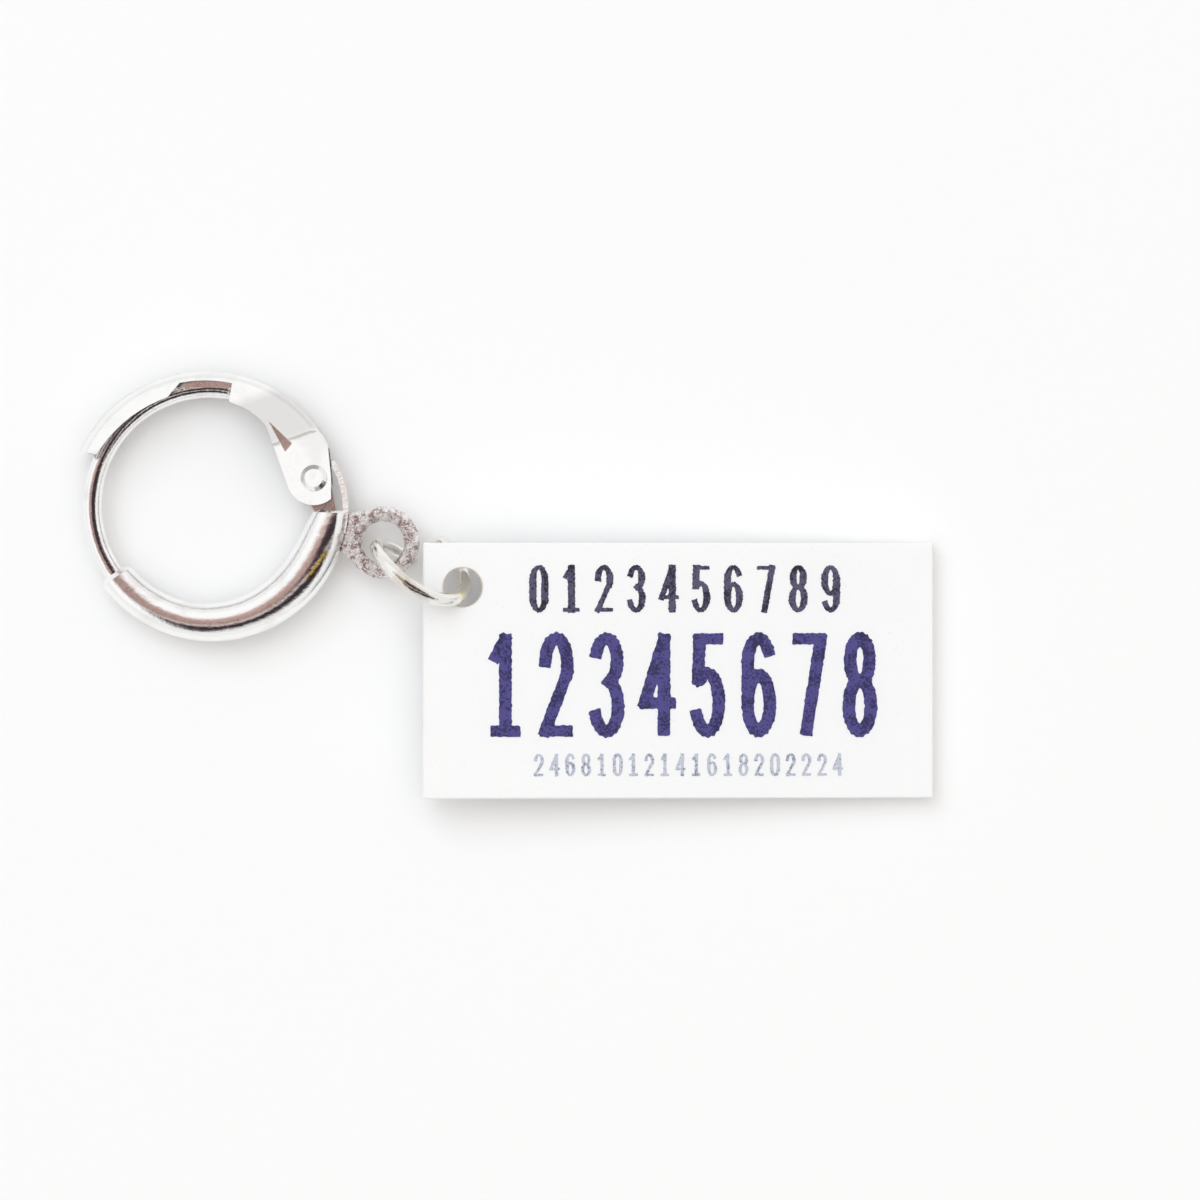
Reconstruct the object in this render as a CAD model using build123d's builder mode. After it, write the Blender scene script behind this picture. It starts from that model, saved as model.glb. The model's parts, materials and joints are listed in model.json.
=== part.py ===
from build123d import *
import os
from math import asin, cos, degrees, radians, sin, sqrt

# Stitch marker: a lever-back hoop that clips over a knitting needle, with a
# printed rectangular plate hanging from it on a jump ring. Millimetres.
# The origin is the hoop's centre. The needle passes along Z, the plate hangs
# off towards +X, and the whole marker lies on a table below it, +Z up.

os.makedirs("parts", exist_ok=True)

# The hoop's outer edge. The body, the post, the lever, the hinge and the eye are
# all placed from it. A depth is measured in from it, towards the hoop's centre.
hoop_radius = 6.87

# Hoop body: a round horn that swells from the post end to the hinge end
tube_mouth_depth = 0.17  # its outer edge comes in this far by the hinge end
tube_diameter = 2.25  # the widest section
tube_post_angle = 214.5
tube_mouth_angle = 357.3
tube_end_chamfer = 0.22
tube_mouth_chamfer = 0.12
# each section's place along the body, and its share of the widest diameter
tube_section_shares = (
    (0.00, 0.74),
    (0.18, 0.79),
    (0.39, 0.85),
    (0.60, 0.95),
    (0.78, 1.00),
    (0.91, 0.94),
    (1.00, 0.78),
)

# Post wire: the thin half of the hoop, which the needle slips past
post_wire_diameter = 0.90
post_bow_depth = 0.82  # the wire's middle line, where it bows out furthest
post_bow_angle = 180
post_tip_angle = 76
post_tip_chamfer = 0.2
post_root_length = 0.9
post_latch_gap = 0.11  # between the wire's tip and the lever's back wall

# Lever: a stamped channel with a rounded back, open towards the needle
lever_centre_x = -0.39
lever_centre_y = -0.20
lever_width = 2.26
lever_sheet = 0.28
lever_back_round = 0.48
lever_tip_angle = 158.3
lever_tip_edge_depth = 0.59  # the cheeks' inner edge at the tip
lever_tip_edge_angle = 156.7
lever_cheek_depth = 0.87
lever_cheek_angle = 136
lever_heel_depth = 1.70
lever_heel_angle = 81
lever_waist_depth = 2.15
lever_waist_angle = 56
heel_bulge = 0.04  # how far the inner edge bows out between heel and waist
lug_width = 1.90
lug_radius = 1.35
lug_flat = 0.86  # from the pivot to the lug's flat side, by the leaf spring
lug_left_angle = 195
back_end_angle = 72  # from the pivot, where the back ends above the leaf's tip
joggle_start = 2.15  # from the pivot, where the channel begins to widen
joggle_length = 0.85
notch_web = 0.50  # what the notch leaves of the channel's back
notch_floor_angle = 105.3
notch_edge_angle = 113
notch_edge_depth = 1.08

# Hinge: tongue, rivet and leaf spring
pivot_depth = 1.70
pivot_angle = 14.9
tongue_thickness = 1.04
tongue_head_radius = 0.78
tongue_root_radius = 0.38
tongue_root_depth = 0.62  # the root's centre, inside the mouth
hinge_side_gap = 0.10  # between the tongue and each lug
rivet_diameter = 0.70
rivet_running_gap = 0.04
rivet_head_diameter = 1.30
rivet_face_diameter = 0.90
rivet_head_height = 0.17
rivet_head_gap = 0.03
leaf_thickness = 0.27
leaf_width = 0.90
leaf_root_length = 1.1
leaf_belly_radius = 1.42  # the leaf's middle line from the pivot, halfway up
leaf_belly_angle = -12
leaf_tip_radius = 1.22
leaf_tip_angle = 43
leaf_sweep_gap = 0.30  # between the leaf's tip and the end of the lever's back
seat_gap = 0.01  # around the roots that are pressed into the body

# Eye: a cast loop soldered to the hoop's outer side
eye_angle = -12.5
eye_stand_off = 0.11  # from the body's outer edge to the eye's
eye_diameter = 3.61
eye_wire = 0.75  # across its eight-sided section
eye_bevel = 0.22
eye_foot_thickness = 0.70
eye_foot_round = 0.22
eye_foot_top_angle = -3.4
eye_foot_bottom_angle = -20.3
eye_foot_tangent_angle = 118
eye_foot_root_share = 0.5  # how far the foot goes on into the body, of its length

# Jump ring: split round wire, opened sideways, its top crossing in plain view
ring_wire = 0.68
ring_eye_radius = 2.22  # the wire's middle line, in the half that passes the eye
ring_charm_radius = 2.52  # and in the half that passes the plate
ring_pass_angle = 119  # round from its top, where the wire passes the eye's plane
ring_pass_ahead = 0.12  # that place, from the eye's centre, along X
ring_pass_aside = 0.15  # and along -Y
ring_heading_angle = -40
ring_eye_lean_angle = 77.6
ring_charm_lean_angle = 59.5
ring_eye_arc_angle = 172
ring_charm_arc_angle = 184
ring_end_chamfer = 0.1

# Charm plate: one inch by half an inch, its left end held up by the ring
charm_length = 25.4
charm_height = 12.7
charm_thickness = 1.30
charm_gap = 0.16  # from the eye to the plate's left end
charm_drop = 0.03  # from the eye's centre to the plate's upper edge
charm_lift = 1.55  # its left end's underside, above the table
charm_hole_diameter = 1.96
charm_hole_inset = 1.95
charm_hole_drop = 2.20
charm_edge_chamfer = 0.07

overrun = 3.0  # how far every cut runs past the faces that it opens


def polar(radius, angle):
    return Vector(radius * cos(radians(angle)), radius * sin(radians(angle)), 0)


def circle_through(a, b, c):
    """Centre of the circle through three points in the hoop's plane."""
    d = 2 * (a.X * (b.Y - c.Y) + b.X * (c.Y - a.Y) + c.X * (a.Y - b.Y))
    aa, bb, cc = (p.X**2 + p.Y**2 for p in (a, b, c))
    x = (aa * (b.Y - c.Y) + bb * (c.Y - a.Y) + cc * (a.Y - b.Y)) / d
    y = (aa * (c.X - b.X) + bb * (a.X - c.X) + cc * (b.X - a.X)) / d
    return Vector(x, y, 0)


def save(part, name):
    part.label = name
    export_step(part, f"parts/{name}.step")


# Places that several pieces share
tube_mouth_radius = hoop_radius - tube_mouth_depth
pivot = polar(hoop_radius - pivot_depth, pivot_angle)
lever_centre = Vector(lever_centre_x, lever_centre_y, 0)
eye_centre = polar(tube_mouth_radius + eye_stand_off + eye_diameter / 2, eye_angle)
channel_inner_radius = hoop_radius - lever_sheet
lug_gap = tongue_thickness + 2 * hinge_side_gap
leaf_reach = leaf_tip_radius + leaf_thickness / 2
back_end_radius = leaf_reach + leaf_sweep_gap


def tube_section(share, width_share):
    """Plane and diameter of the body's section at a share of its arc."""
    angle = tube_post_angle + share * (tube_mouth_angle - tube_post_angle)
    outer = hoop_radius - share * tube_mouth_depth
    diameter = tube_diameter * width_share
    middle = polar(outer - diameter / 2, angle)
    return Plane(origin=middle, x_dir=polar(-1, angle), z_dir=polar(1, angle + 90)), diameter


# Post wire: one round arc, from its root in the body to the tip in the lever
post_start = tube_section(*tube_section_shares[0])[0].origin
tip_line = polar(1, post_tip_angle)
tip_reach = channel_inner_radius - post_latch_gap - post_wire_diameter / 2
tip_along = tip_line.dot(lever_centre)
tip_offset = tip_along + sqrt(tip_along**2 - lever_centre.dot(lever_centre) + tip_reach**2)
post_tip = tip_line * tip_offset
post_bow = polar(hoop_radius - post_bow_depth, post_bow_angle)
post_centre = circle_through(post_start, post_bow, post_tip)
post_radius = (post_start - post_centre).length
post_root_angle = degrees(post_root_length / post_radius)
post_from = Vector(1, 0, 0).get_signed_angle(post_tip - post_centre, Vector(0, 0, 1))
post_to = Vector(1, 0, 0).get_signed_angle(post_start - post_centre, Vector(0, 0, 1)) + 360


def post_arc(diameter, end_angle):
    """A round wire along the post's arc, from its tip to an angle past its start."""
    start = post_centre + polar(post_radius, post_from)
    with BuildPart() as arc:
        with BuildSketch(Plane(origin=start, x_dir=polar(1, post_from), z_dir=polar(1, post_from + 90))):
            Circle(diameter / 2)
        revolve(axis=Axis(post_centre, (0, 0, 1)), revolution_arc=end_angle - post_from)
    return arc.part


with BuildPart() as post_wire:
    add(post_arc(post_wire_diameter, post_to + post_root_angle))
    tip_face = post_wire.faces().filter_by(GeomType.PLANE).sort_by_distance(post_tip)[0]
    chamfer(tip_face.edges(), post_tip_chamfer)
save(post_wire.part, "post_wire")


# Hinge tongue: a flat tab pressed into the mouth, between the lever's lugs
mouth_plane = tube_section(*tube_section_shares[-1])[0]
tongue_root = mouth_plane.origin - mouth_plane.z_dir * tongue_root_depth


def tongue_blank(gap):
    with BuildPart() as blank:
        with BuildSketch():
            with Locations(pivot):
                Circle(tongue_head_radius + gap)
            with Locations(tongue_root):
                Circle(tongue_root_radius + gap)
            make_hull()
        extrude(amount=tongue_thickness / 2 + gap, both=True)
    return blank.part


with BuildPart() as hinge_tongue:
    add(tongue_blank(0))
    with Locations(pivot + Vector(0, 0, tongue_thickness / 2)):
        Hole(rivet_diameter / 2 + seat_gap)
save(hinge_tongue.part, "hinge_tongue")


# Leaf spring: a strip let into the body's outer side, bowed over the hinge
leaf_root_radius = tube_mouth_radius - leaf_thickness / 2
leaf_root_angle = degrees(leaf_root_length / leaf_root_radius)


def leaf_blank(gap):
    with BuildPart() as blank:
        with BuildSketch():
            with BuildLine():
                CenterArc((0, 0), leaf_root_radius, tube_mouth_angle, -leaf_root_angle)
                ThreePointArc(
                    polar(leaf_root_radius, tube_mouth_angle),
                    pivot + polar(leaf_belly_radius, leaf_belly_angle),
                    pivot + polar(leaf_tip_radius, leaf_tip_angle),
                )
            trace(line_width=leaf_thickness + 2 * gap)
        extrude(amount=leaf_width / 2 + gap, both=True)
    return blank.part


with BuildPart() as leaf_spring:
    add(leaf_blank(0))
save(leaf_spring.part, "leaf_spring")


# Hoop body: the swelling horn, with seats for the post, the tongue and the leaf
with BuildPart() as horn:
    for share, width_share in tube_section_shares:
        section, diameter = tube_section(share, width_share)
        with BuildSketch(section):
            Circle(diameter / 2)
    loft()

with BuildPart() as hoop_body:
    add(horn.part)
    post_end = hoop_body.faces().filter_by(GeomType.PLANE).sort_by_distance(post_start)[0]
    chamfer(post_end.edges(), tube_end_chamfer)
    mouth = hoop_body.faces().filter_by(GeomType.PLANE).sort_by_distance(mouth_plane.origin)[0]
    chamfer(mouth.edges(), tube_mouth_chamfer)
    add(post_arc(post_wire_diameter + 2 * seat_gap, post_to + post_root_angle + seat_gap), mode=Mode.SUBTRACT)
    add(tongue_blank(seat_gap), mode=Mode.SUBTRACT)
    add(leaf_blank(seat_gap), mode=Mode.SUBTRACT)
save(hoop_body.part, "hoop_body")


# Lever: its plan, from the tip along the back to the hinge and home by the cheeks
def on_arc(radius, angle):
    """On a circle about the lever's own centre, at an angle from the hoop's centre."""
    line = polar(1, angle)
    along = line.dot(lever_centre)
    return line * (along + sqrt(along**2 - lever_centre.dot(lever_centre) + radius**2))


tip_outer = on_arc(hoop_radius, lever_tip_angle)
tip_inner = polar(hoop_radius - lever_tip_edge_depth, lever_tip_edge_angle)
cheek_middle = polar(hoop_radius - lever_cheek_depth, lever_cheek_angle)
notch_edge = polar(hoop_radius - notch_edge_depth, notch_edge_angle)
heel = polar(hoop_radius - lever_heel_depth, lever_heel_angle)
waist = polar(hoop_radius - lever_waist_depth, lever_waist_angle)
lever_axis = (on_arc(hoop_radius, lever_waist_angle) - pivot).normalized()
back_end = pivot + polar(back_end_radius, back_end_angle)
back_end = lever_centre + (back_end - lever_centre).normalized() * hoop_radius
lug_right = pivot + Vector(lug_flat, -sqrt(lug_radius**2 - lug_flat**2))
lug_side = pivot + Vector(lug_flat, 0)
lug_left = pivot + polar(lug_radius, lug_left_angle)
heel_mid_angle = (lever_heel_angle + lever_waist_angle) / 2
heel_mid_depth = (lever_heel_depth + lever_waist_depth) / 2
heel_middle = polar(hoop_radius - heel_mid_depth + heel_bulge, heel_mid_angle)

# The notch: a floor that follows the back, a slanted side and a square side
notch_radius = hoop_radius - notch_web
notch_floor_tip = on_arc(notch_radius, notch_floor_angle)
notch_floor_middle = on_arc(notch_radius, (notch_floor_angle + lever_heel_angle) / 2)
notch_floor_heel = on_arc(notch_radius, lever_heel_angle)
notch_open_tip = notch_floor_tip + (notch_edge - notch_floor_tip) * 2
notch_open_heel = heel - (notch_floor_heel - heel)


def side_profile(near_half_width, far_half_width, reach):
    """Seen from the side, the channel's width: narrow by the hinge, then wide."""
    with BuildPart() as band:
        with BuildSketch(Plane(origin=pivot, x_dir=lever_axis, z_dir=lever_axis.cross(Vector(0, 0, 1)))):
            with BuildLine():
                Polyline(
                    (-reach, near_half_width),
                    (joggle_start, near_half_width),
                    (joggle_start + joggle_length, far_half_width),
                    (reach, far_half_width),
                    (reach, -far_half_width),
                    (joggle_start + joggle_length, -far_half_width),
                    (joggle_start, -near_half_width),
                    (-reach, -near_half_width),
                    close=True,
                )
            make_face()
        extrude(amount=reach, both=True)
    return band.part


with BuildPart() as lever_hollow:
    with BuildSketch():
        with Locations(lever_centre):
            Circle(channel_inner_radius)
        with Locations(pivot):
            Circle(back_end_radius)
    extrude(amount=lever_width, both=True)
    add(
        side_profile(lug_gap / 2, lever_width / 2 - lever_sheet, 2 * hoop_radius),
        mode=Mode.INTERSECT,
    )

with BuildPart() as lever:
    with BuildSketch():
        with BuildLine():
            ThreePointArc(tip_outer, on_arc(hoop_radius, lever_heel_angle), back_end)
            Polyline(back_end, lug_side, lug_right)
            ThreePointArc(lug_right, pivot + polar(lug_radius, 270), lug_left)
            Line(lug_left, waist)
            ThreePointArc(waist, heel_middle, heel)
            Line(heel, notch_edge)
            ThreePointArc(notch_edge, cheek_middle, tip_inner)
            Line(tip_inner, tip_outer)
        make_face()
    extrude(amount=lever_width / 2, both=True)
    back_edges = lever.edges().filter_by(GeomType.CIRCLE).filter_by(
        lambda edge: abs(edge.radius - hoop_radius) < lever_sheet / 2
    )
    fillet(back_edges, lever_back_round)
    add(
        side_profile(lug_width / 2, lever_width, 2 * hoop_radius),
        mode=Mode.INTERSECT,
    )
    add(lever_hollow.part, mode=Mode.SUBTRACT)
    with BuildSketch():
        with BuildLine():
            ThreePointArc(notch_floor_tip, notch_floor_middle, notch_floor_heel)
            Polyline(notch_floor_heel, notch_open_heel, notch_open_tip, notch_floor_tip)
        make_face()
    extrude(amount=lever_width, both=True, mode=Mode.SUBTRACT)
    with Locations(pivot + Vector(0, 0, lever_width / 2)):
        Hole(rivet_diameter / 2 + rivet_running_gap)
save(lever.part, "lever")


# Hinge rivet: a plain pin with a flat-faced head on each lug
rivet_seat = lug_width / 2 + rivet_head_gap
rivet_top = rivet_seat + rivet_head_height
with BuildPart() as hinge_rivet:
    with BuildSketch(Plane(origin=pivot, x_dir=(1, 0, 0), z_dir=(0, -1, 0))):
        with BuildLine():
            Polyline(
                (0, -rivet_top),
                (rivet_face_diameter / 2, -rivet_top),
                (rivet_head_diameter / 2, -rivet_seat),
                (rivet_diameter / 2, -rivet_seat),
                (rivet_diameter / 2, rivet_seat),
                (rivet_head_diameter / 2, rivet_seat),
                (rivet_face_diameter / 2, rivet_top),
                (0, rivet_top),
                close=True,
            )
        make_face()
    revolve(axis=Axis(pivot, (0, 0, 1)))
save(hinge_rivet.part, "hinge_rivet")


# Charm eye: a round loop on a wedge of a foot, cut to the body it is soldered to
foot_sections = []
for share in (-eye_foot_root_share, 1):
    sides = []
    for body_angle, eye_angle in (
        (eye_foot_top_angle, eye_foot_tangent_angle),
        (eye_foot_bottom_angle, -eye_foot_tangent_angle),
    ):
        on_body = polar(tube_mouth_radius, body_angle)
        on_eye = eye_centre + polar(eye_diameter / 2, eye_angle)
        sides.append(on_body + (on_eye - on_body) * share)
    foot_sections.append(sides)

with BuildPart() as eye_loop:
    with Locations(eye_centre):
        Cylinder(eye_diameter / 2, eye_wire)
        Cylinder(eye_diameter / 2 - eye_wire, eye_wire + overrun, mode=Mode.SUBTRACT)
    chamfer(eye_loop.edges().filter_by(GeomType.CIRCLE), eye_bevel)

with BuildPart() as charm_eye:
    for top_side, bottom_side in foot_sections:
        upward = top_side - bottom_side
        section = Plane(
            origin=(top_side + bottom_side) / 2, x_dir=upward, z_dir=upward.cross(Vector(0, 0, 1))
        )
        with BuildSketch(section):
            RectangleRounded(upward.length, eye_foot_thickness, eye_foot_round)
    loft(ruled=True)
    with Locations(eye_centre):
        Cylinder((eye_diameter - eye_wire) / 2, eye_wire + overrun, mode=Mode.SUBTRACT)
    add(eye_loop.part)
    add(horn.part, mode=Mode.SUBTRACT)
    add(leaf_blank(seat_gap), mode=Mode.SUBTRACT)
save(charm_eye.part, "charm_eye")


# Jump ring: two halves that share their top section and lean apart below it. The
# top is found from the place where the eye's half passes through the eye's hole.
ring_along = polar(1, ring_heading_angle)
ring_across = polar(1, ring_heading_angle + 90)


def ring_down(lean_angle):
    """From the ring's top straight across it, for a half that leans this much."""
    return ring_across * cos(radians(lean_angle)) - Vector(0, 0, 1) * sin(radians(lean_angle))


ring_pass = eye_centre + Vector(ring_pass_ahead, -ring_pass_aside, 0)
ring_rise = ring_down(ring_eye_lean_angle) * (ring_eye_radius * (cos(radians(ring_pass_angle)) - 1))
ring_top = ring_pass + ring_along * (ring_eye_radius * sin(radians(ring_pass_angle))) + ring_rise
ring_halves = (
    (ring_charm_radius, ring_charm_lean_angle, ring_charm_arc_angle),
    (ring_eye_radius, ring_eye_lean_angle, -ring_eye_arc_angle),
)
with BuildPart() as jump_ring:
    for radius, lean_angle, arc_angle in ring_halves:
        down = ring_down(lean_angle)
        with BuildSketch(Plane(origin=ring_top, x_dir=down, z_dir=ring_along)):
            Circle(ring_wire / 2)
        revolve(axis=Axis(ring_top + down * radius, ring_along.cross(down)), revolution_arc=arc_angle)
    ring_ends = jump_ring.faces().filter_by(GeomType.PLANE).sort_by(Axis.Z)[:2]
    chamfer([edge for end in ring_ends for edge in end.edges()], ring_end_chamfer)
save(jump_ring.part, "jump_ring")


# Charm plate: a flat plate whose left end rests on the ring, its right on the table
ring_lows = []
for radius, lean_angle, arc_angle in ring_halves:
    fall = radius * sin(radians(lean_angle)) * (1 - cos(radians(arc_angle)))
    ring_lows.append(ring_top.Z - fall - ring_wire / 2)
table_z = min(ring_lows)
charm_tilt = asin(charm_lift / charm_length)
charm_plane = Plane(
    origin=eye_centre + Vector(eye_diameter / 2 + charm_gap, -charm_drop, table_z + charm_lift),
    x_dir=(cos(charm_tilt), 0, -sin(charm_tilt)),
    z_dir=(sin(charm_tilt), 0, cos(charm_tilt)),
)
with BuildPart() as charm_plate:
    with BuildSketch(charm_plane):
        with Locations((charm_length / 2, -charm_height / 2)):
            Rectangle(charm_length, charm_height)
    extrude(amount=charm_thickness)
    faces = charm_plate.faces().sort_by(Axis(charm_plane.origin, charm_plane.z_dir))
    chamfer(faces[0].edges() + faces[-1].edges(), charm_edge_chamfer)
    with BuildSketch(charm_plane):
        with Locations((charm_hole_inset, -charm_hole_drop)):
            Circle(charm_hole_diameter / 2)
    extrude(amount=charm_thickness, mode=Mode.SUBTRACT)
save(charm_plate.part, "charm_plate")
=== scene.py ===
import json
import math
from typing import NamedTuple

import bmesh
import bpy
import numpy as np
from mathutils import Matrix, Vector, noise


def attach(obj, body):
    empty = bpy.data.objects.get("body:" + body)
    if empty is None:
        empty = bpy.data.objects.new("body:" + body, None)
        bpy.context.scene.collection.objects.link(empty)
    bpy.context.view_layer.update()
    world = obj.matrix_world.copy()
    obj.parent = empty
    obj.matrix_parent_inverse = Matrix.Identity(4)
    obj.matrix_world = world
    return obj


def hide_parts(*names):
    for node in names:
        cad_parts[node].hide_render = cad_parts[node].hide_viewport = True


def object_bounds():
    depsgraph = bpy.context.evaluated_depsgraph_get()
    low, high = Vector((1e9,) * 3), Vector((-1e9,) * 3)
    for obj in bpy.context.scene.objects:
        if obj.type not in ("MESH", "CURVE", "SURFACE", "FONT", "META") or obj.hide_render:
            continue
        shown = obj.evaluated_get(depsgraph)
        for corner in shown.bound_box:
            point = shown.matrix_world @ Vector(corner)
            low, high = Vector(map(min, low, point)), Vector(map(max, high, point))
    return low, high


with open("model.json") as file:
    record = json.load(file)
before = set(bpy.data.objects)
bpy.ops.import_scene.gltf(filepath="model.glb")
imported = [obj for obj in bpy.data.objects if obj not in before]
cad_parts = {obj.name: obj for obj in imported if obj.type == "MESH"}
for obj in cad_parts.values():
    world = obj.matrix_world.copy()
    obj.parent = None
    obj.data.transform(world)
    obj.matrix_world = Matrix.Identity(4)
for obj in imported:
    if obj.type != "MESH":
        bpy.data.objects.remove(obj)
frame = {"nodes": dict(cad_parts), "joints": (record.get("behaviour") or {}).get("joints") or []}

cad_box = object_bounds()
mm = 0.001


class Grain(NamedTuple):
    """A pattern of noise, and the depth of its bumps in millimetres."""

    scale: float
    detail: float = 3
    roughness: float = 0.5
    distortion: float = 0
    depth: float = 0


class Patch(NamedTuple):
    """A flat patch of the metal, seen from above. Each of its sides is a line, given by a direction
    across it and a distance. The lean is how far and which way the patch leans, in degrees."""

    sides: tuple
    lean: tuple


class PaintedLightZone(NamedTuple):
    """An area of the metal where painted light is laid into its colour, with sides like a patch's, and
    how soft they are.
    """

    sides: tuple
    edge: float
    colour: tuple


class Silver(NamedTuple):
    """The finish of a silver-plated piece. Gloss is its roughness from clean to hazed. The turn of its
    noise, in degrees, keeps the pieces from wearing alike."""

    name: str
    gloss: tuple
    noise_turn: float
    wear: float = 1
    bright: tuple = (0.955, 0.950, 0.945)
    dull: tuple = (0.86, 0.835, 0.82)
    lean: tuple | None = None
    patches: tuple = ()
    painted_light: PaintedLightZone | None = None


class Ink(NamedTuple):
    """Printed ink, with its colours where it is laid on thick, as usual and thin."""

    name: str
    thick: tuple
    usual: tuple
    thin: tuple


class Line(NamedTuple):
    """A line of print. Its ends are measured on the plate, from its upper left corner. The gap is a
    share of the pitch, and contrast is how much thinner a level stroke is than an upright one."""

    text: str
    left: float
    right: float
    top: float
    bottom: float
    gap_share: float
    half_width: float
    contrast: float
    ragged: float
    grid: float
    ink: Ink


class Layer(NamedTuple):
    """A layer over the room that is mirrored. Its shares are stops along one of the room's axes."""

    axis: str
    shares: tuple
    colour: tuple


# The camera looks straight down, as in the photograph. Places are in millimetres from the hoop's
# centre, and the view's width is taken at its level.
CAMERA_AT = (19.21, -4.73)
CAMERA_HEIGHT = 300
VIEW_WIDTH = 59.76
SENSOR_WIDTH = 36
CLIP_START = 10
CLIP_END = 10000

# The soft lamp at the upper left, and its share of the light on the floor
LAMP_AT = (-440, 560, 1050)
LAMP_SIZE = 900
LAMP_SHARE = 0.187
LAMP_COLOUR = (0.79, 0.925, 1.05)

# The pale floor, and the share of its colour that its darker fibres keep
FLOOR_SIZE = 2400
FLOOR_CELLS = 8
FLOOR_COLOUR = (0.955, 0.955, 0.955)
FLOOR_ROUGHNESS = 0.9
FLOOR_SPECULAR = 0.1
FIBRE = Grain(1.4, detail=5, roughness=0.6, depth=0.004)
FIBRE_SHADE = 0.994

# The room's axes point to the photo's right, to its lower side, to its upper side, and up. A place
# along an axis runs from 0, straight against it, to 1, straight along it, and the warp sways it.
ROOM_AXES = {
    "aside": (0.98, 0.20, 0),
    "across": (0.20, -0.98, 0),
    "upper": (-0.25, 0.97, 0),
    "height": (0, 0, 1),
}
ROOM_WARP = Grain(2.3, detail=2)
ROOM_SWAY = 0.05
# Its soft light at heights from level, 0.5, to overhead, 1, and how much more comes from the photo's
# upper side than from its lower one
ROOM_LIGHT = (
    (0.5, (0.255, 0.2415, 0.229)),
    (0.85, (0.745, 0.7245, 0.704)),
    (1.0, (1.573, 1.5435, 1.515)),
)
ROOM_LEAN = 0.24
# What the camera sees of it
ROOM_SEEN = (0.965, 0.965, 0.965)
# What is mirrored of it: white at the upper side, which blushes and turns into a speckled mauve. The
# mauve turns dark to the right.
WHITE = (1.02, 1.02, 1.02)
BLUSH = (0.63, 0.47, 0.43)
DUSK = (0.11, 0.07, 0.075)
BLACK = (0.042, 0.030, 0.034)
WHITE_TO_BLUSH = ((0.27, WHITE), (0.36, BLUSH))
BLUSH_TO_MAUVE = ((0.33, 0), (0.47, 1))
MAUVE_SPECKLE = Grain(15)
MAUVE_TONES = ((0.40, (0.20, 0.11, 0.10)), (0.5, (0.37, 0.22, 0.195)), (0.60, (0.72, 0.55, 0.51)))
MAUVE_TO_DARK = ((0.48, 0), (0.55, 1))
DARK_TONES = ((0.55, DUSK), (0.62, BLACK))
# And over it: a thin pale line, the dark of the open side, the grey beyond, white at the right and
# the left, and a paler grey all round near the table
ROOM_LAYERS = (
    Layer("across", ((0.635, 0), (0.665, 1), (0.685, 1), (0.70, 0)), (0.74, 0.69, 0.65)),
    Layer("across", ((0.695, 0), (0.71, 1)), BLACK),
    Layer("across", ((0.86, 0), (0.92, 1)), (0.72, 0.72, 0.72)),
    Layer("aside", ((0.22, 1), (0.32, 0), (0.84, 0), (0.92, 1)), WHITE),
    Layer("height", ((0.68, 1), (0.77, 0)), (0.90, 0.90, 0.90)),
)

# Most values of a noise lie between these
NOISE_LOW = 0.3
NOISE_HIGH = 0.7

# The silver's cloudy tint, the specks that dull its gloss, and its bumps at a wear of one. Hair
# scratches are noise that is drawn out along one of the piece's own axes.
CLOUD = Grain(0.55, detail=4, distortion=0.6, depth=0.030)
DULL_UP_TO = 0.32
BRIGHT_FROM = 0.52
SPECKS = Grain(6.0, detail=2)
PEEL = Grain(4.5, roughness=0.6, depth=0.006)
PITS = Grain(12, detail=2, depth=0.006)
HAIR = Grain(1.6, detail=4, depth=0.0022)
HAIR_STRETCH = (1, 14, 5)
CROSS_HAIR = Grain(1.1, depth=0.0016)
CROSS_STRETCH = (12, 1, 4)
CROSS_NOISE_TURN = 24

# How far the pieces' faces lean, and which way, in degrees
CAMBER = (19, 135)
WIRE_LEAN = (9, 0)
LEAF_LEAN = (13, 135)
# The lever's patches and its painted shade on the arm are measured from its pivot, and the others from
# the hoop's centre. The lever's step is steep, and is shaded like the cheeks beside it.
PATCH_EDGE = 0.03
LEVER_WEDGE = Patch(((46.3, 0.49), (318.8, -1.935), (208.1, 0.637)), (6, 215))
LEVER_STEP = Patch(((109.5, 2.36), (289.5, -1.98)), CAMBER)
POST_TIP = Patch(((270, -5.84),), (6, 205))
# Painted shade: a soft grey laid into the colour of the lever's arm
PAINTED_ARM_SHADE = PaintedLightZone(((109.5, 4.75), (289.5, -2.20)), 0.25, (0.76, 0.745, 0.735))
# Painted reflection: a golden streak laid into the colour of the hoop's tube
PAINTED_GOLDEN_REFLECTION = PaintedLightZone(
    ((236.3, 0.50), (56.3, 1.17), (326.3, 6.09), (146.3, -5.85)), 0.06, (0.96, 0.70, 0.26)
)

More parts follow.
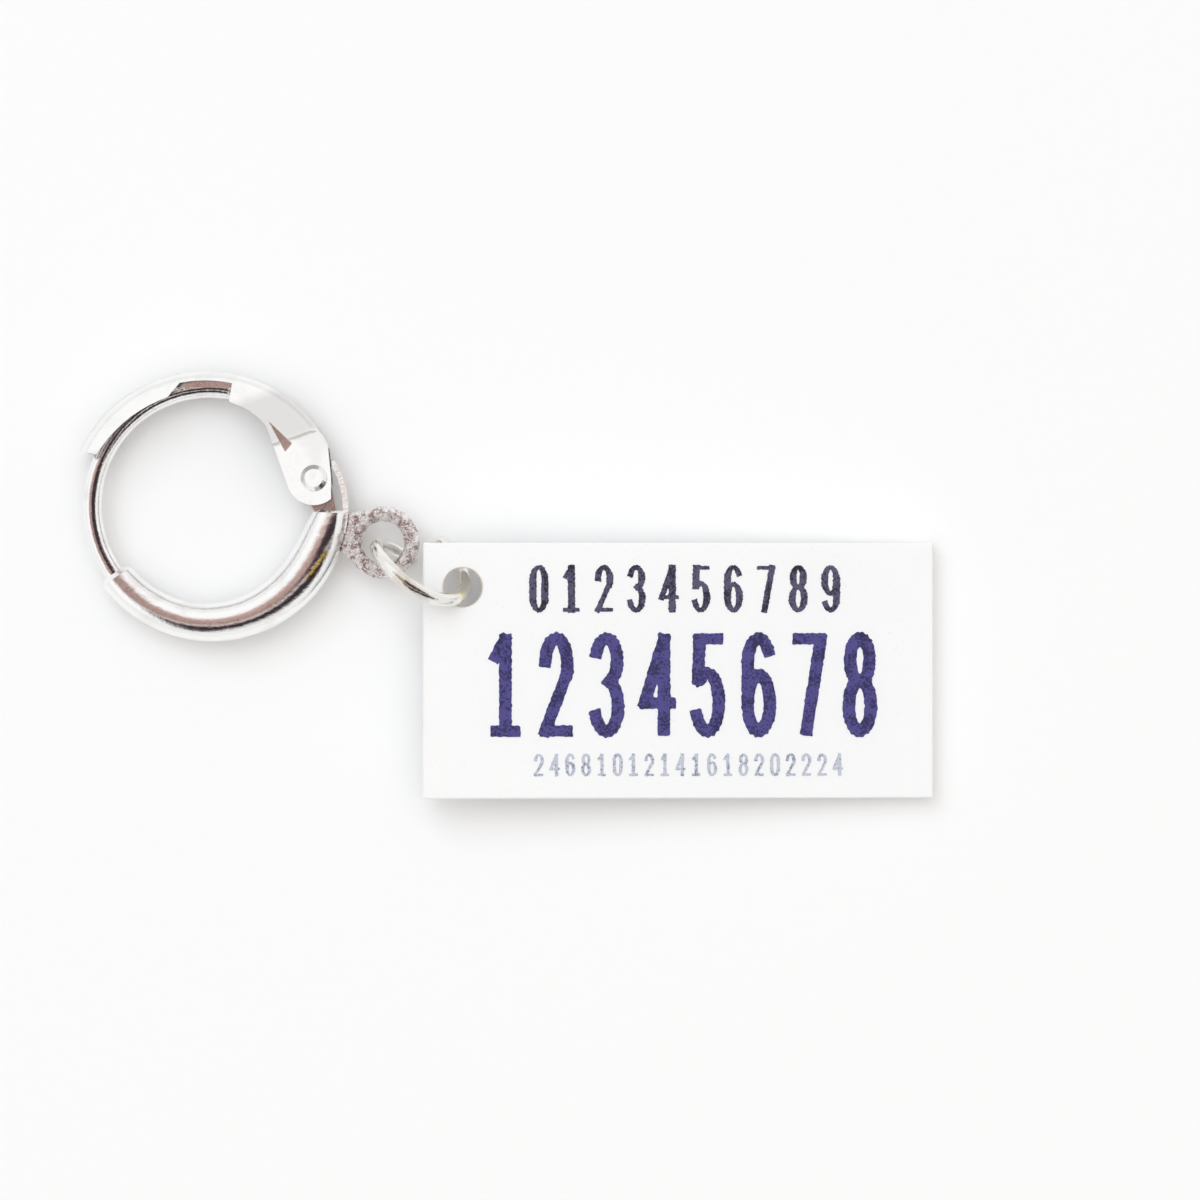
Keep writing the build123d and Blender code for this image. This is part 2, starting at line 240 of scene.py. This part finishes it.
# The finish of each silver node of the CAD
SILVERS = {
    "hoop_body": Silver("hoop_silver", (0.035, 0.09), 20, painted_light=PAINTED_GOLDEN_REFLECTION),
    "post_wire": Silver("wire_silver", (0.04, 0.10), 70, lean=WIRE_LEAN, patches=(POST_TIP,)),
    "lever": Silver(
        "lever_silver",
        (0.09, 0.15),
        45,
        wear=1.1,
        dull=(0.88, 0.87, 0.86),
        lean=CAMBER,
        patches=(LEVER_STEP, LEVER_WEDGE),
        painted_light=PAINTED_ARM_SHADE,
    ),
    "hinge_rivet": Silver("rivet_silver", (0.12, 0.18), 110, lean=CAMBER),
    "leaf_spring": Silver("leaf_silver", (0.12, 0.20), 10, wear=1.6, lean=LEAF_LEAN),
    # Painted shade and painted reflection: the tongue between the lugs is coloured a dark mauve for
    # the shade it lies in and the mauve it mirrors
    "hinge_tongue": Silver(
        "tongue_silver", (0.18, 0.30), 80, wear=2, bright=(0.70, 0.60, 0.59), dull=(0.42, 0.31, 0.30)
    ),
    "jump_ring": Silver(
        "ring_silver", (0.07, 0.15), 35, wear=1.3, bright=(0.90, 0.885, 0.845), dull=(0.70, 0.66, 0.59)
    ),
}

# The rough cast eye: how its mesh is made dense and softened, the scale and height of each layer of
# its roughness, and its metal
CAST_VOXEL = 0.045
CAST_SOFTENING = 0.5
CAST_ROUNDS = 8
CAST_SWELLS = ((1.7, 0.020), (5.0, 0.020), (10.0, 0.024))
CAST_SINK = 0.008
CAST_CELL_SCALE = 6.5
CAST_CELL_DEPTH = 0.035
CAST_FINE = Grain(11, detail=4, roughness=0.65, depth=0.045)
CAST_CLOUD = Grain(2.6)
CAST_TONES = ((0.80, (0.34, 0.23, 0.23)), (0.94, (0.66, 0.56, 0.55)), (1.0, (0.95, 0.93, 0.92)))
CAST_GLOSS = (0.14, 0.34)

# The plate's plastic and its darker specks
PLASTIC_CLOUD = Grain(0.16)
PLASTIC_TONES = ((NOISE_LOW, (0.966, 0.965, 0.963)), (NOISE_HIGH, (0.978, 0.978, 0.978)))
PLASTIC_SPECKLE = Grain(3.4, detail=5, roughness=0.7, depth=0.004)
SPECKLE_FROM = 0.62
SPECKLE_FULL = 0.74
SPECKLE_COLOUR = (0.88, 0.87, 0.87)
PLASTIC_GLOSS = (0.26, 0.40)
PLASTIC_SUBSURFACE = 0.1
SUBSURFACE_RADIUS = (2.0, 1.6, 1.1)
# Its hole, from its upper left corner, and the warm beige painted on its cut wall: painted shade for
# the inside of the hole. The beige fades between these distances past the wall.
HOLE_INSET = 1.95
HOLE_DROP = 2.20
HOLE_RADIUS = 0.98
HOLE_PAINTED_SHADE = (0.98, 0.83, 0.60)
HOLE_WALL_SUBSURFACE = 1
PAINTED_SHADE_FADES_FROM = 0.02
PAINTED_SHADE_FADES_TO = 0.07

# A face whose normal points up more than this belongs to an upper side
LOOKS_UP = 0.9

# The print: digits in a cell one wide and one high, each a list of strokes. A stroke is a list of
# points and arcs; an arc is a centre, two radii and the angles where it starts and ends.
DIGITS = {
    "0": [[((0.5, 0.72), (0.42, 0.28), 0, 180), ((0.5, 0.28), (0.42, 0.28), 180, 360), (0.92, 0.72)]],
    "1": [[(0.12, 0.80), (0.5, 1.0), (0.5, 0.0)], [(0.12, 0.0), (0.88, 0.0)]],
    "2": [[((0.5, 0.72), (0.42, 0.28), 175, -25), (0.08, 0.0), (0.94, 0.0)]],
    "3": [[((0.48, 0.76), (0.40, 0.24), 160, -75), ((0.48, 0.27), (0.44, 0.27), 80, -160)]],
    "4": [[(0.74, 0.0), (0.74, 1.0), (0.0, 0.30), (1.0, 0.30)]],
    "5": [[(0.88, 1.0), (0.16, 1.0), (0.12, 0.55), ((0.46, 0.31), (0.44, 0.31), 125, -155)]],
    "6": [
        [((0.5, 0.72), (0.42, 0.28), 30, 180), (0.08, 0.30)],
        [((0.5, 0.30), (0.42, 0.30), 0, 360)],
    ],
    "7": [[(0.06, 1.0), (0.94, 1.0), (0.40, 0.0)]],
    "8": [[((0.5, 0.765), (0.36, 0.235), 0, 360)], [((0.5, 0.27), (0.42, 0.27), 0, 360)]],
    "9": [
        [((0.5, 0.70), (0.42, 0.30), 0, 360)],
        [(0.92, 0.70), ((0.5, 0.28), (0.42, 0.28), 0, -150)],
    ],
}
ARC_STEP = 15

INK_HEIGHT = 0.02
INK_STOPS = (0.83, 0.98, 1.0)  # where the blotches and dots together give each of an ink's colours
INK_BLOTCH = Grain(1.1, detail=5, roughness=0.65)
INK_DOTS = Grain(9.0, detail=2, depth=0.004)
INK_GLOSS = (0.38, 0.55)
CAP_SHARE = 0.8  # how square a stroke's end is
RAGGED_CELLS = 2.4  # the raggedness repeats over about this many grid cells
RAGGED_LEVEL = 7  # the level of the noise that it is taken from
NOT_ZERO = 1e-6  # keeps the grid's points off the very edge

LINES = {
    "counting_digits": Line(
        text="12345678",
        left=3.1,
        right=22.7,
        top=4.45,
        bottom=9.65,
        gap_share=0.23,
        half_width=0.315,
        contrast=0.12,
        ragged=0.05,
        grid=0.07,
        ink=Ink("counting_ink", (0.024, 0.021, 0.100), (0.042, 0.036, 0.172), (0.074, 0.062, 0.265)),
    ),
    "upper_digits": Line(
        text="0123456789",
        left=5.2,
        right=20.8,
        top=1.05,
        bottom=3.5,
        gap_share=0.34,
        half_width=0.18,
        contrast=0.9,
        ragged=0.05,
        grid=0.045,
        ink=Ink("upper_ink", (0.018, 0.017, 0.036), (0.050, 0.045, 0.094), (0.095, 0.085, 0.165)),
    ),
    "lower_digits": Line(
        text="24681012141618202224",
        left=5.45,
        right=20.9,
        top=10.45,
        bottom=11.6,
        gap_share=0.30,
        half_width=0.08,
        contrast=0.4,
        ragged=0.035,
        grid=0.035,
        ink=Ink("lower_ink", (0.26, 0.29, 0.40), (0.56, 0.59, 0.68), (0.56, 0.59, 0.68)),
    ),
}


def connect(tree, node, inputs):
    """Each input names a socket of the node, and is linked to a socket or set to a value."""
    for name, value in inputs.items():
        if isinstance(value, bpy.types.NodeSocket):
            tree.links.new(value, node.inputs[name])
        else:
            node.inputs[name].default_value = value


def add(tree, kind, inputs=None, **settings):
    """A new shader node."""
    node = tree.nodes.new(kind)
    for name, value in settings.items():
        setattr(node, name, value)
    connect(tree, node, inputs or {})
    return node


def computed(tree, operation, *values):
    node = add(tree, "ShaderNodeMath", dict(enumerate(values)), operation=operation)
    return node.outputs["Value"]


def mixed(tree, kind, factor, a, b):
    node = add(tree, "ShaderNodeMix", {"Factor": factor, "A": a, "B": b}, data_type=kind)
    return node.outputs["Result"]


def rgba(colour):
    return (*colour, 1)


def ramp(tree, factor, stops):
    """A colour ramp through stops, each a place and a colour."""
    node = add(tree, "ShaderNodeValToRGB", {"Fac": factor})
    elements = node.color_ramp.elements
    while len(elements) > 1:
        elements.remove(elements[-1])
    (start, start_colour), *others = stops
    elements[0].position = start
    elements[0].color = rgba(start_colour)
    for place, colour in others:
        elements.new(place).color = rgba(colour)
    return node.outputs["Color"]


def share_ramp(tree, factor, stops):
    """A ramp through stops, each a place and a share."""
    return ramp(tree, factor, [(place, (share, share, share)) for place, share in stops])


def spread(tree, value, low, high, start=NOISE_LOW, end=NOISE_HIGH):
    """Value from start to end becomes low to high."""
    node = add(
        tree,
        "ShaderNodeMapRange",
        {"Value": value, "From Min": start, "From Max": end, "To Min": low, "To Max": high},
    )
    return node.outputs["Result"]


def grain(tree, place, pattern):
    node = add(
        tree,
        "ShaderNodeTexNoise",
        {
            "Vector": place,
            "Scale": pattern.scale,
            "Detail": pattern.detail,
            "Roughness": pattern.roughness,
            "Distortion": pattern.distortion,
        },
    )
    return node.outputs["Fac"]


def in_millimetres(tree, stretch=(1, 1, 1), turn=0):
    """The object's own coordinates in millimetres, multiplied by stretch and then turned about Z."""
    coordinates = add(tree, "ShaderNodeTexCoord")
    mapping = add(
        tree,
        "ShaderNodeMapping",
        {
            "Vector": coordinates.outputs["Object"],
            "Rotation": (0, 0, math.radians(turn)),
            "Scale": tuple(share / mm for share in stretch),
        },
    )
    return mapping.outputs["Vector"]


def bump(tree, height, depth, normal=None):
    """A bump whose full height is depth, in millimetres."""
    inputs = {"Height": height, "Strength": 1, "Distance": depth * mm}
    if normal is not None:
        inputs["Normal"] = normal
    return add(tree, "ShaderNodeBump", inputs).outputs["Normal"]


def new_material(name):
    made = bpy.data.materials.new(name)
    made.use_nodes = True
    tree = made.node_tree
    tree.nodes.clear()
    shader = add(tree, "ShaderNodeBsdfPrincipled")
    add(tree, "ShaderNodeOutputMaterial", {"Surface": shader.outputs["BSDF"]})
    return made, tree, shader


def across_level(tree, place, degrees, middle=(0, 0, 0)):
    """How far place lies from middle, in a level direction."""
    angle = math.radians(degrees)
    moved = add(tree, "ShaderNodeVectorMath", {0: place, 1: middle}, operation="SUBTRACT")
    dot = add(
        tree,
        "ShaderNodeVectorMath",
        {0: moved.outputs["Vector"], 1: (math.cos(angle), math.sin(angle), 0)},
        operation="DOT_PRODUCT",
    )
    return dot.outputs["Value"]


def leaned(tree, place, lean, normal):
    """The normal of a face that leans some degrees in a level direction, on top of its own form."""
    degrees, towards = lean
    height = across_level(tree, place, towards + 180)
    return bump(tree, height, math.tan(math.radians(degrees)), normal)


def flat_normal(tree, lean):
    """The normal of a flat face with this lean, and of its mirror image on the lower side."""
    tilt, towards = (math.radians(angle) for angle in lean)
    own = add(tree, "ShaderNodeTexCoord").outputs["Normal"]
    own_height = add(tree, "ShaderNodeSeparateXYZ", {"Vector": own}).outputs["Z"]
    side = computed(tree, "SIGN", own_height)
    vector = add(
        tree,
        "ShaderNodeCombineXYZ",
        {
            "X": math.sin(tilt) * math.cos(towards),
            "Y": math.sin(tilt) * math.sin(towards),
            "Z": computed(tree, "MULTIPLY", side, math.cos(tilt)),
        },
    )
    turned = add(
        tree,
        "ShaderNodeVectorTransform",
        {"Vector": vector.outputs["Vector"]},
        vector_type="NORMAL",
        convert_from="OBJECT",
        convert_to="WORLD",
    )
    return turned.outputs["Vector"]


def within(tree, place, sides, middle, edge):
    """One between the sides, which are measured from middle, and zero outside them."""
    share = 1
    for towards, distance in sides:
        beside = across_level(tree, place, towards, middle)
        inside = spread(tree, beside, 1, 0, distance - edge, distance + edge)
        share = computed(tree, "MULTIPLY", inside, share)
    return share


def silver(finish, middle):
    """Silver plate, with painted light laid into its colour where its finish asks for it. Its patches
    and that painted light are measured from middle.
    """
    made, tree, shader = new_material(finish.name)
    place = in_millimetres(tree)
    scratched = in_millimetres(tree, HAIR_STRETCH, finish.noise_turn)
    crossed = in_millimetres(tree, CROSS_STRETCH, finish.noise_turn + CROSS_NOISE_TURN)
    cloud = grain(tree, place, CLOUD)
    specks = grain(tree, place, SPECKS)
    normal = add(tree, "ShaderNodeNewGeometry").outputs["Normal"]
    if finish.lean:
        normal = leaned(tree, place, finish.lean, normal)
    for patch in finish.patches:
        share = within(tree, place, patch.sides, middle, PATCH_EDGE)
        normal = mixed(tree, "VECTOR", share, normal, flat_normal(tree, patch.lean))
    normal = bump(tree, cloud, finish.wear * CLOUD.depth, normal)
    for layer_place, layer in ((place, PEEL), (place, PITS), (scratched, HAIR), (crossed, CROSS_HAIR)):
        normal = bump(tree, grain(tree, layer_place, layer), finish.wear * layer.depth, normal)
    colour = ramp(tree, cloud, ((DULL_UP_TO, finish.dull), (BRIGHT_FROM, finish.bright)))
    # Painted light: a painted reflection or painted shade laid into the metal's colour
    if finish.painted_light:
        share = within(tree, place, finish.painted_light.sides, middle, finish.painted_light.edge)
        colour = mixed(tree, "RGBA", share, colour, rgba(finish.painted_light.colour))
    connect(
        tree,
        shader,
        {
            "Base Color": colour,
            "Metallic": 1,
            "Roughness": spread(tree, specks, *finish.gloss),
            "Normal": normal,
        },
    )
    return made


def cast_silver():
    """The rough casting: mottled from dark to bright, with a fine pitted grain."""
    made, tree, shader = new_material("cast_silver")
    place = in_millimetres(tree)
    cells = add(tree, "ShaderNodeTexVoronoi", {"Vector": place, "Scale": CAST_CELL_SCALE})
    fine = grain(tree, place, CAST_FINE)
    cloud = grain(tree, place, CAST_CLOUD)
    normal = bump(tree, cells.outputs["Distance"], CAST_CELL_DEPTH)
    connect(
        tree,
        shader,
        {
            "Base Color": ramp(tree, computed(tree, "ADD", fine, cloud), CAST_TONES),
            "Metallic": 1,
            "Roughness": spread(tree, cloud, *CAST_GLOSS),
            "Normal": bump(tree, fine, CAST_FINE.depth, normal),
        },
    )
    return made


def white_plastic(hole):
    """The plate: white gloss plastic with a faint speckle and an orange-peel surface. The cut wall
    round the hole's middle is painted a warm beige, as painted shade for the inside of the hole, and
    lets more light through beneath its surface."""
    made, tree, shader = new_material("plate_plastic")
    place = in_millimetres(tree)
    speckle = grain(tree, place, PLASTIC_SPECKLE)
    clouded = ramp(tree, grain(tree, place, PLASTIC_CLOUD), PLASTIC_TONES)
    specked = spread(tree, speckle, 0, 1, SPECKLE_FROM, SPECKLE_FULL)
    tone = mixed(tree, "RGBA", specked, clouded, rgba(SPECKLE_COLOUR))
    # Painted shade: the hole's cut wall takes a warm beige
    gap = add(tree, "ShaderNodeVectorMath", {0: place, 1: hole / mm}, operation="DISTANCE")
    wall = spread(
        tree, gap.outputs["Value"], 1, 0, HOLE_RADIUS + PAINTED_SHADE_FADES_FROM, HOLE_RADIUS + PAINTED_SHADE_FADES_TO
    )
    connect(
        tree,
        shader,
        {
            "Base Color": mixed(tree, "RGBA", wall, tone, rgba(HOLE_PAINTED_SHADE)),
            "Roughness": spread(tree, speckle, *PLASTIC_GLOSS),
            "Normal": bump(tree, speckle, PLASTIC_SPECKLE.depth),
            "Subsurface Weight": spread(tree, wall, PLASTIC_SUBSURFACE, HOLE_WALL_SUBSURFACE, 0, 1),
            "Subsurface Radius": SUBSURFACE_RADIUS,
            "Subsurface Scale": mm,
        },
    )
    return made


def printed_ink(ink):
    """Ink that is laid on in uneven blotches and dots."""
    made, tree, shader = new_material(ink.name)
    place = in_millimetres(tree)
    blotch = grain(tree, place, INK_BLOTCH)
    dots = grain(tree, place, INK_DOTS)
    stops = tuple(zip(INK_STOPS, (ink.thick, ink.usual, ink.thin)))
    connect(
        tree,
        shader,
        {
            "Base Color": ramp(tree, computed(tree, "ADD", blotch, dots), stops),
            "Roughness": spread(tree, dots, *INK_GLOSS),
            "Normal": bump(tree, dots, INK_DOTS.depth),
        },
    )
    return made


def floor_paper():
    made, tree, shader = new_material("floor_paper")
    fibre = grain(tree, in_millimetres(tree), FIBRE)
    shaded = tuple(FIBRE_SHADE * channel for channel in FLOOR_COLOUR)
    connect(
        tree,
        shader,
        {
            "Base Color": ramp(tree, fibre, ((NOISE_LOW, shaded), (NOISE_HIGH, FLOOR_COLOUR))),
            "Roughness": FLOOR_ROUGHNESS,
            "Specular IOR Level": FLOOR_SPECULAR,
            "Normal": bump(tree, fibre, FIBRE.depth),
        },
    )
    return made


def assign(piece, material):
    piece.data.materials.clear()
    piece.data.materials.append(material)


def new_piece(name, mesh):
    piece = bpy.data.objects.new(name, mesh)
    bpy.context.scene.collection.objects.link(piece)
    return piece


def rough_eye():
    """The cast eye on its foot: the node's own form, made dense, softened and roughened."""
    mesh = frame["nodes"]["charm_eye"].data.copy()
    mesh.materials.clear()
    # In millimetres, because the remesh takes no voxels this small in metres
    for vertex in mesh.vertices:
        vertex.co /= mm
    blank = new_piece("eye_blank", mesh)
    remesh = blank.modifiers.new("dense", "REMESH")
    remesh.mode = "VOXEL"
    remesh.voxel_size = CAST_VOXEL
    soften = blank.modifiers.new("soften", "SMOOTH")
    soften.factor = CAST_SOFTENING
    soften.iterations = CAST_ROUNDS
    graph = bpy.context.evaluated_depsgraph_get()
    dense = bpy.data.meshes.new_from_object(blank.evaluated_get(graph))
    bpy.data.objects.remove(blank)
    places = [vertex.co.copy() for vertex in dense.vertices]
    normals = [vertex.normal.copy() for vertex in dense.vertices]
    for vertex, at, out in zip(dense.vertices, places, normals):
        swell = sum(height * noise.noise(at * scale) for scale, height in CAST_SWELLS)
        vertex.co = (at + out * (swell - CAST_SINK)) * mm
    for face in dense.polygons:
        face.use_smooth = True
    dense.update()
    piece = new_piece("cast_eye", dense)
    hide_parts("charm_eye")
    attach(piece, "hoop")
    assign(piece, cast_silver())


class PlateFace:
    """The plate's printed face. Places are in millimetres from its upper left corner."""

    def __init__(self):
        mesh = frame["nodes"]["charm_plate"].data
        upward = [face for face in mesh.polygons if face.normal.z > LOOKS_UP]
        self.out = max(upward, key=lambda face: face.area).normal.copy()
        self.down = Vector((0, -1, 0))
        self.along = self.out.cross(self.down)
        if self.along.x < 0:
            self.along.negate()
        corners = [vertex.co for vertex in mesh.vertices]
        left = min(self.along.dot(corner) for corner in corners)
        top = min(self.down.dot(corner) for corner in corners)
        level = max(self.out.dot(corner) for corner in corners)
        self.corner = self.along * left + self.down * top + self.out * level

    def point(self, x, y):
        return self.corner + (self.along * x + self.down * y) * mm


def stroke_points(stroke):
    """The points along one stroke of a digit, with its arcs divided."""
    points = []
    for part in stroke:
        if len(part) == 2:
            points.append(part)
            continue
        (x, y), (rx, ry), start, end = part
        count = max(2, round(abs(end - start) / ARC_STEP) + 1)
        for angle in np.radians(np.linspace(start, end, count)):
            points.append((x + rx * math.cos(angle), y + ry * math.sin(angle)))
    return points


def digit_segments(line, digit, start, width):
    """The straight pieces of a digit's strokes, on the plate's face."""
    base = line.bottom - line.half_width
    height = line.bottom - line.top - 2 * line.half_width
    segments = []
    for stroke in DIGITS[digit]:
        points = [(start + x * width, base - y * height) for x, y in stroke_points(stroke)]
        segments += list(zip(points, points[1:]))
    return segments


def distance_to(segments, across, down, contrast):
    """Each grid point's distance to the nearest of the segments, measured beside and past them. A
    level segment's is stretched by contrast, so that its stroke comes out thinner."""
    nearest = np.full(across.shape, np.inf)
    for (x0, y0), (x1, y1) in segments:
        length = math.hypot(x1 - x0, y1 - y0)
        along_x, along_y = (x1 - x0) / length, (y1 - y0) / length
        along = (across - x0) * along_x + (down - y0) * along_y
        beside = np.abs((across - x0) * along_y - (down - y0) * along_x)
        past = np.maximum(np.maximum(-along, along - length), 0)
        stretch = 1 + contrast * abs(along_x)
        nearest = np.minimum(nearest, np.maximum(beside * stretch, past / CAP_SHARE))
    return nearest


def inked_faces(mesh, face, field, left, top, grid):
    """Faces over the part of a grid where field is above zero, cut where it crosses zero."""
    rows, columns = field.shape
    found = {}

    def vertex(key, row, column):
        if key not in found:
            found[key] = mesh.verts.new(face.point(left + column * grid, top + row * grid))
        return found[key]

    def crossing(a, b):
        key = (min(a, b), max(a, b))
        (r0, c0), (r1, c1) = key
        share = field[r0, c0] / (field[r0, c0] - field[r1, c1])
        return vertex(key, r0 + share * (r1 - r0), c0 + share * (c1 - c0))

    for row in range(rows - 1):
        for column in range(columns - 1):
            cell = ((row, column), (row + 1, column), (row + 1, column + 1), (row, column + 1))
            inside = [field[at] > 0 for at in cell]
            outline = []
            for index, at in enumerate(cell):
                following = (index + 1) % len(cell)
                if inside[index]:
                    outline.append(vertex(at, *at))
                if inside[index] != inside[following]:
                    outline.append(crossing(at, cell[following]))
            if len(outline) > 2:
                mesh.faces.new(outline)


def print_digit(mesh, face, line, digit, start, width):
    """The flat shape of one ragged digit."""
    margin = line.half_width + line.ragged + line.grid
    xs = np.arange(start - margin, start + width + margin + line.grid, line.grid)
    ys = np.arange(line.top - margin, line.bottom + margin, line.grid)
    across, down = np.meshgrid(xs, ys)
    segments = digit_segments(line, digit, start, width)
    field = line.half_width - distance_to(segments, across, down, line.contrast)
    for index in np.ndindex(field.shape):
        at = Vector((across[index], down[index], RAGGED_LEVEL))
        field[index] += line.ragged * noise.noise(at / (RAGGED_CELLS * line.grid)) + NOT_ZERO
    inked_faces(mesh, face, field, xs[0], ys[0], line.grid)


def print_line(name, line, face):
    """One line of printed digits, as a thin layer of ink on the plate."""
    pitch = (line.right - line.left) / (len(line.text) - line.gap_share)
    width = pitch * (1 - line.gap_share) - 2 * line.half_width
    mesh = bmesh.new()
    for place, digit in enumerate(line.text):
        print_digit(mesh, face, line, digit, line.left + line.half_width + place * pitch, width)
    lifted = bmesh.ops.extrude_face_region(mesh, geom=list(mesh.faces))
    raised = [item for item in lifted["geom"] if isinstance(item, bmesh.types.BMVert)]
    bmesh.ops.translate(mesh, verts=raised, vec=face.out * INK_HEIGHT * mm)
    bmesh.ops.recalc_face_normals(mesh, faces=mesh.faces)
    mesh.verts.index_update()
    # The extrusion leaves its walls in no fixed order
    faces = sorted([vertex.index for vertex in side.verts] for side in mesh.faces)
    data = bpy.data.meshes.new(name)
    data.from_pydata([vertex.co for vertex in mesh.verts], [], faces)
    mesh.free()
    piece = new_piece(name, data)
    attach(piece, "charm")
    assign(piece, printed_ink(line.ink))


def dress_cad_nodes(plate_face):
    """The materials of the CAD pieces that stay."""
    nodes = frame["nodes"]
    pivot = next(joint["pos_m"] for joint in frame["joints"] if joint["name"] == "lever_hinge")
    middles = {"lever": Vector(pivot) / mm}
    for name, finish in SILVERS.items():
        assign(nodes[name], silver(finish, middles.get(name, (0, 0, 0))))
    assign(nodes["charm_plate"], white_plastic(plate_face.point(HOLE_INSET, HOLE_DROP)))


def make_floor():
    """One large sheet of pale paper, at the level of the object's lowest point."""
    sheet = bmesh.new()
    bmesh.ops.create_grid(
        sheet, x_segments=FLOOR_CELLS, y_segments=FLOOR_CELLS, size=FLOOR_SIZE * mm / 2
    )
    data = bpy.data.meshes.new("floor")
    sheet.to_mesh(data)
    sheet.free()
    floor = new_piece("floor", data)
    floor.location = (CAMERA_AT[0] * mm, CAMERA_AT[1] * mm, cad_box[0].z)
    assign(floor, floor_paper())


def make_lamp():
    """A square soft lamp that gives its share of the light on the floor, where white paper in full
    light has a brightness of one. The metal mirrors the room alone."""
    place = Vector(LAMP_AT) * mm
    distance = place.length
    slope = place.z / distance
    lamp = bpy.data.lights.new("soft_lamp", "AREA")
    lamp.shape = "SQUARE"
    lamp.size = LAMP_SIZE * mm
    lamp.energy = LAMP_SHARE * math.pi**2 * distance**2 / slope
    lamp.color = LAMP_COLOUR
    holder = bpy.data.objects.new("soft_lamp", lamp)
    bpy.context.scene.collection.objects.link(holder)
    holder.location = place
    holder.visible_glossy = False
    holder.rotation_mode = "QUATERNION"
    holder.rotation_quaternion = (-place).to_track_quat("-Z", "Y")


def mirrored_room(tree, direction, places):
    """What glossy surfaces mirror of the room."""
    mauve = ramp(tree, grain(tree, direction, MAUVE_SPECKLE), MAUVE_TONES)
    dark = ramp(tree, places["aside"], DARK_TONES)
    darkened = share_ramp(tree, places["aside"], MAUVE_TO_DARK)
    overhead = mixed(tree, "RGBA", darkened, mauve, dark)
    blushing = ramp(tree, places["across"], WHITE_TO_BLUSH)
    begun = share_ramp(tree, places["across"], BLUSH_TO_MAUVE)
    mirrored = mixed(tree, "RGBA", begun, blushing, overhead)
    for layer in ROOM_LAYERS:
        share = share_ramp(tree, places[layer.axis], layer.shares)
        mirrored = mixed(tree, "RGBA", share, mirrored, rgba(layer.colour))
    return mirrored


def soft_light(tree, places):
    """The light that the room gives, apart from what is mirrored."""
    upper = spread(tree, places["upper"], 1 - ROOM_LEAN, 1 + ROOM_LEAN, 0, 1)
    light = ramp(tree, places["height"], ROOM_LIGHT)
    scaled = add(tree, "ShaderNodeVectorMath", {0: light, "Scale": upper}, operation="SCALE")
    return scaled.outputs["Vector"]


def make_room():
    """The white room. The camera sees it plain, and bright metal mirrors its darker side too: a mauve
    patch overhead, and beyond a thin pale line the dark of the open side, at the lower right."""
    world = bpy.data.worlds.new("room")
    bpy.context.scene.world = world
    world.use_nodes = True
    tree = world.node_tree
    tree.nodes.clear()
    direction = add(tree, "ShaderNodeTexCoord").outputs["Generated"]
    sway = spread(tree, grain(tree, direction, ROOM_WARP), -ROOM_SWAY, ROOM_SWAY)
    places = {}
    for name, axis in ROOM_AXES.items():
        dot = add(tree, "ShaderNodeVectorMath", {0: direction, 1: axis}, operation="DOT_PRODUCT")
        swayed = computed(tree, "ADD", dot.outputs["Value"], sway)
        places[name] = spread(tree, swayed, 0, 1, -1, 1)
    path = add(tree, "ShaderNodeLightPath").outputs
    mirrored = mirrored_room(tree, direction, places)
    lit = mixed(tree, "RGBA", path["Is Glossy Ray"], soft_light(tree, places), mirrored)
    seen = computed(tree, "MAXIMUM", path["Is Camera Ray"], path["Is Transmission Ray"])
    colour = mixed(tree, "RGBA", seen, lit, rgba(ROOM_SEEN))
    shade = add(tree, "ShaderNodeBackground", {"Color": colour, "Strength": 1})
    add(tree, "ShaderNodeOutputWorld", {"Surface": shade.outputs["Background"]})


def make_camera():
    data = bpy.data.cameras.new("camera")
    data.sensor_width = SENSOR_WIDTH
    data.lens = SENSOR_WIDTH * CAMERA_HEIGHT / VIEW_WIDTH
    data.clip_start = CLIP_START * mm
    data.clip_end = CLIP_END * mm
    camera = bpy.data.objects.new("camera", data)
    camera.location = (CAMERA_AT[0] * mm, CAMERA_AT[1] * mm, CAMERA_HEIGHT * mm)
    bpy.context.scene.collection.objects.link(camera)
    bpy.context.scene.camera = camera


plate_face = PlateFace()
dress_cad_nodes(plate_face)
rough_eye()
for name, line in LINES.items():
    print_line(name, line, plate_face)
make_floor()
make_lamp()
make_room()
make_camera()
bpy.context.scene.view_settings.view_transform = "Standard"
